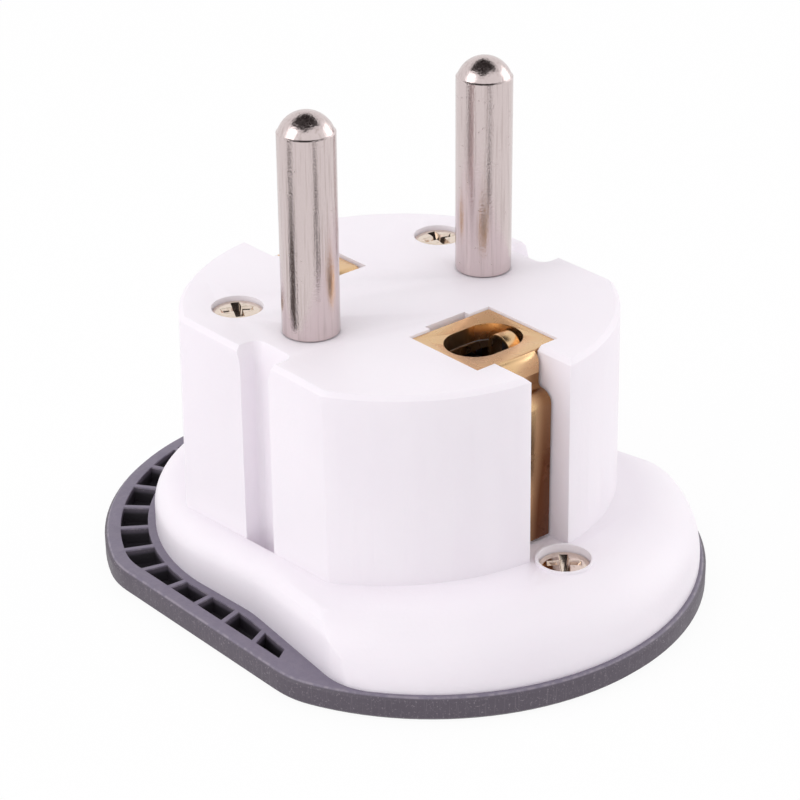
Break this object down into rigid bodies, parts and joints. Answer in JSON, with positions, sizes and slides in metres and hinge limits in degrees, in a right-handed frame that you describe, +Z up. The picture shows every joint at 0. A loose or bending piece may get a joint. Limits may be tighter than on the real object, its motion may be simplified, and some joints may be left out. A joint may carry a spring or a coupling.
{
  "type": "travel plug adapter",
  "caption": "Earthed plug with round pins, grooves and earth strips at the sides, on a flange with a ribbed dark cover whose underside is a socket",
  "frame": {"origin": "middle of the socket face, on the ground that the adapter stands on", "axes": "+Z up along the pins, X along the line of the two pins, -Y towards the front of the flange with its screw"},
  "size_m": [0.0446, 0.0552, 0.0435],
  "materials": {
    "white_plastic": "moulded, satin",
    "dark_plastic": "moulded, matte, worn at the rim",
    "nickel": "nickel plated, drawn lengthwise",
    "brass": "satin",
    "spring_steel": "bright",
    "screw_steel": "plated, bright"
  },
  "bodies": {
    "root": {"housing": "white_plastic", "socket_cover": "dark_plastic", "contact_holder": "dark_plastic", "plug_pin_left": "nickel", "plug_pin_right": "nickel", "front_earth_contact": "brass", "back_earth_contact": "brass", "earth_pin_spring": "brass", "earth_bridge": "brass", "earth_socket_contact": "brass", "earth_rivet": "brass", "line_contact_left": "brass", "line_contact_right": "brass", "contact_clip_left": "spring_steel", "contact_clip_right": "spring_steel", "pin_washer_left": "spring_steel", "pin_washer_right": "spring_steel", "face_screw_left": "screw_steel", "face_screw_right": "screw_steel", "flange_screw": "screw_steel"}
  },
  "joints": []
}
